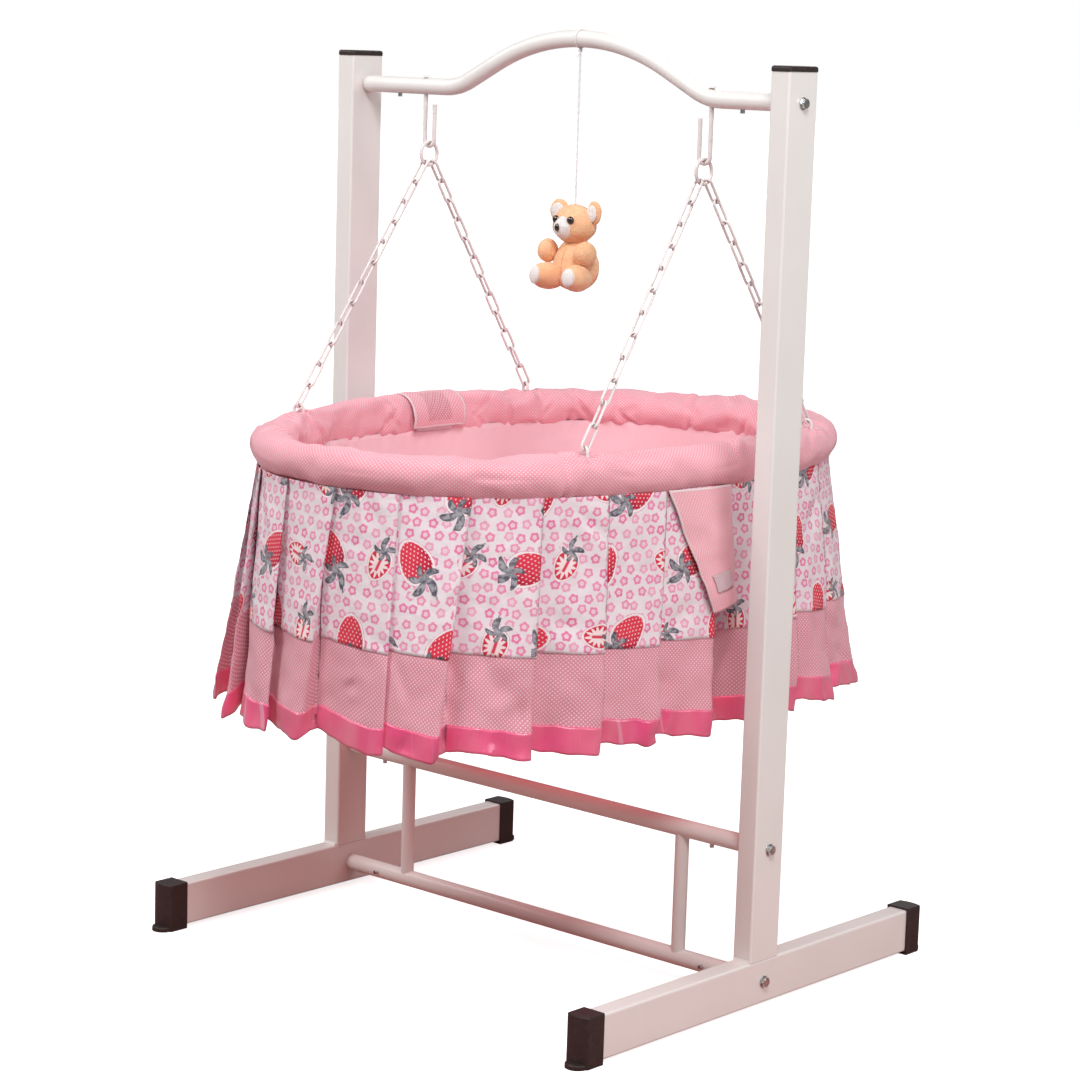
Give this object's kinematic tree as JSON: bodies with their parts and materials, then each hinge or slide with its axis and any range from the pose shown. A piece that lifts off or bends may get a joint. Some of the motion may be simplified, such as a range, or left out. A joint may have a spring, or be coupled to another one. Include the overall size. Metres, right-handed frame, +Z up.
{
  "type": "baby cradle",
  "caption": "Free-standing swing cradle: tubular frame, oval padded basket hung on chains from hooks, pleated fabric skirt and a hanging plush bear.",
  "frame": {"origin": "on the floor, midway between the two posts and under the middle of the basket", "axes": "+X along the top bar, from the left post to the right post; -Y is the front end of the oval basket; +Z up"},
  "size_m": [0.6856, 0.824, 1.0656],
  "materials": {
    "frame_paint": "warm off-white powder coat, smooth satin",
    "chain_paint": "white paint with bare dark spots where links rub",
    "cap_plastic": "dark brown-black moulded plastic, fine texture",
    "zinc": "bright zinc-plated steel",
    "rod_steel": "plain drawn steel rod, hidden inside the padded rim",
    "foam": "soft polyurethane foam, hidden under fabric",
    "rim_fabric": "pink cotton with small white pin dots",
    "liner_fabric": "plain salmon-pink cotton",
    "board": "hardboard, hidden under the mattress",
    "mattress_fabric": "plain pale pink cotton cover over foam",
    "print_fabric": "off-white cotton printed with small pink flowers and red strawberries",
    "dot_fabric": "dusty pink cotton with white dots",
    "ribbon_satin": "hot pink satin ribbon, glossy",
    "strap_fabric": "pink pin-dot cotton with white overlocked edges",
    "touch_fastener": "pale touch-fastener tape",
    "cord": "thin white twisted cord",
    "plush_peach": "short peach plush",
    "plush_white": "short white plush",
    "eye_plastic": "dark brown glossy plastic"
  },
  "bodies": {
    "frame": {"post_left": "frame_paint", "base_tube_left": "frame_paint", "post_cap_left": "cap_plastic", "strut_left": "frame_paint", "hook_left": "frame_paint", "foot_cap_front_left": "cap_plastic", "foot_cap_back_left": "cap_plastic", "post_right": "frame_paint", "base_tube_right": "frame_paint", "post_cap_right": "cap_plastic", "strut_right": "frame_paint", "hook_right": "frame_paint", "foot_cap_front_right": "cap_plastic", "foot_cap_back_right": "cap_plastic", "weld_beads": "frame_paint", "top_bar": "frame_paint", "upper_crossbar": "frame_paint", "lower_crossbar": "frame_paint", "tube_end_nuts": "zinc", "frame_bolts": "zinc", "frame_washers": "zinc", "set_screws": "zinc"},
    "rings": {"ring_left": "chain_paint", "ring_right": "chain_paint"},
    "chains_left": {"chain_front_left": "chain_paint", "chain_back_left": "chain_paint"},
    "chains_right": {"chain_front_right": "chain_paint", "chain_back_right": "chain_paint"},
    "basket": {"chain_eyes": "chain_paint", "rim_ring": "rod_steel", "rim_foam": "foam", "rim_cover": "rim_fabric", "liner_bag": "liner_fabric", "base_board": "board", "mattress": "mattress_fabric", "skirt_print": "print_fabric", "skirt_band": "dot_fabric", "skirt_ribbon": "ribbon_satin", "lock_strap_left": "strap_fabric", "lock_strap_right": "strap_fabric", "strap_patches": "touch_fastener"},
    "toy_loop": {"toy_loop": "cord"},
    "toy_cord": {"toy_cord": "cord"},
    "bear": {"bear_head": "plush_peach", "bear_body": "plush_peach", "bear_legs": "plush_peach", "bear_arms": "plush_peach", "bear_muzzle": "plush_white", "bear_ears": "plush_peach", "bear_inner_ears": "plush_white", "bear_eyes": "eye_plastic", "bear_nose": "eye_plastic", "bear_foot_pads": "plush_white"}
  },
  "joints": [
    {"name": "basket_swing", "type": "hinge", "parent": "frame", "child": "rings", "pos_m": [0, 0, 0.9245], "axis": [1, 0, 0], "range_deg": [-18, 18]},
    {"name": "sway_left", "type": "hinge", "parent": "rings", "child": "chains_left", "pos_m": [-0.2075, 0, 0.90445], "axis": [0, 1, 0], "range_deg": [-3.5, 3.5]},
    {"name": "basket_level", "type": "hinge", "parent": "chains_left", "child": "basket", "pos_m": [-0.21808, 0, 0.6302], "axis": [0, 1, 0], "range_deg": [-3.5, 3.5]},
    {"name": "sway_right", "type": "hinge", "parent": "rings", "child": "chains_right", "pos_m": [0.2075, 0, 0.90445], "axis": [0, 1, 0], "range_deg": [-3.5, 3.5]},
    {"name": "toy_swing", "type": "hinge", "parent": "frame", "child": "toy_loop", "pos_m": [0.024, 0, 1.0545], "axis": [1, 0, 0], "range_deg": [-35, 35]},
    {"name": "toy_sway", "type": "hinge", "parent": "toy_loop", "child": "toy_cord", "pos_m": [0.024, 0, 1.04155], "axis": [0, 1, 0], "range_deg": [-30, 30]},
    {"name": "toy_twist", "type": "hinge", "parent": "toy_cord", "child": "bear", "pos_m": [0.024, 0, 0.8705], "axis": [0, 0, 1], "range_deg": [-180, 180]}
  ],
  "couplings": [
    {"joint": "basket_level", "follows": "sway_left", "ratio": -0.95147},
    {"joint": "sway_right", "follows": "sway_left", "ratio": 1}
  ]
}
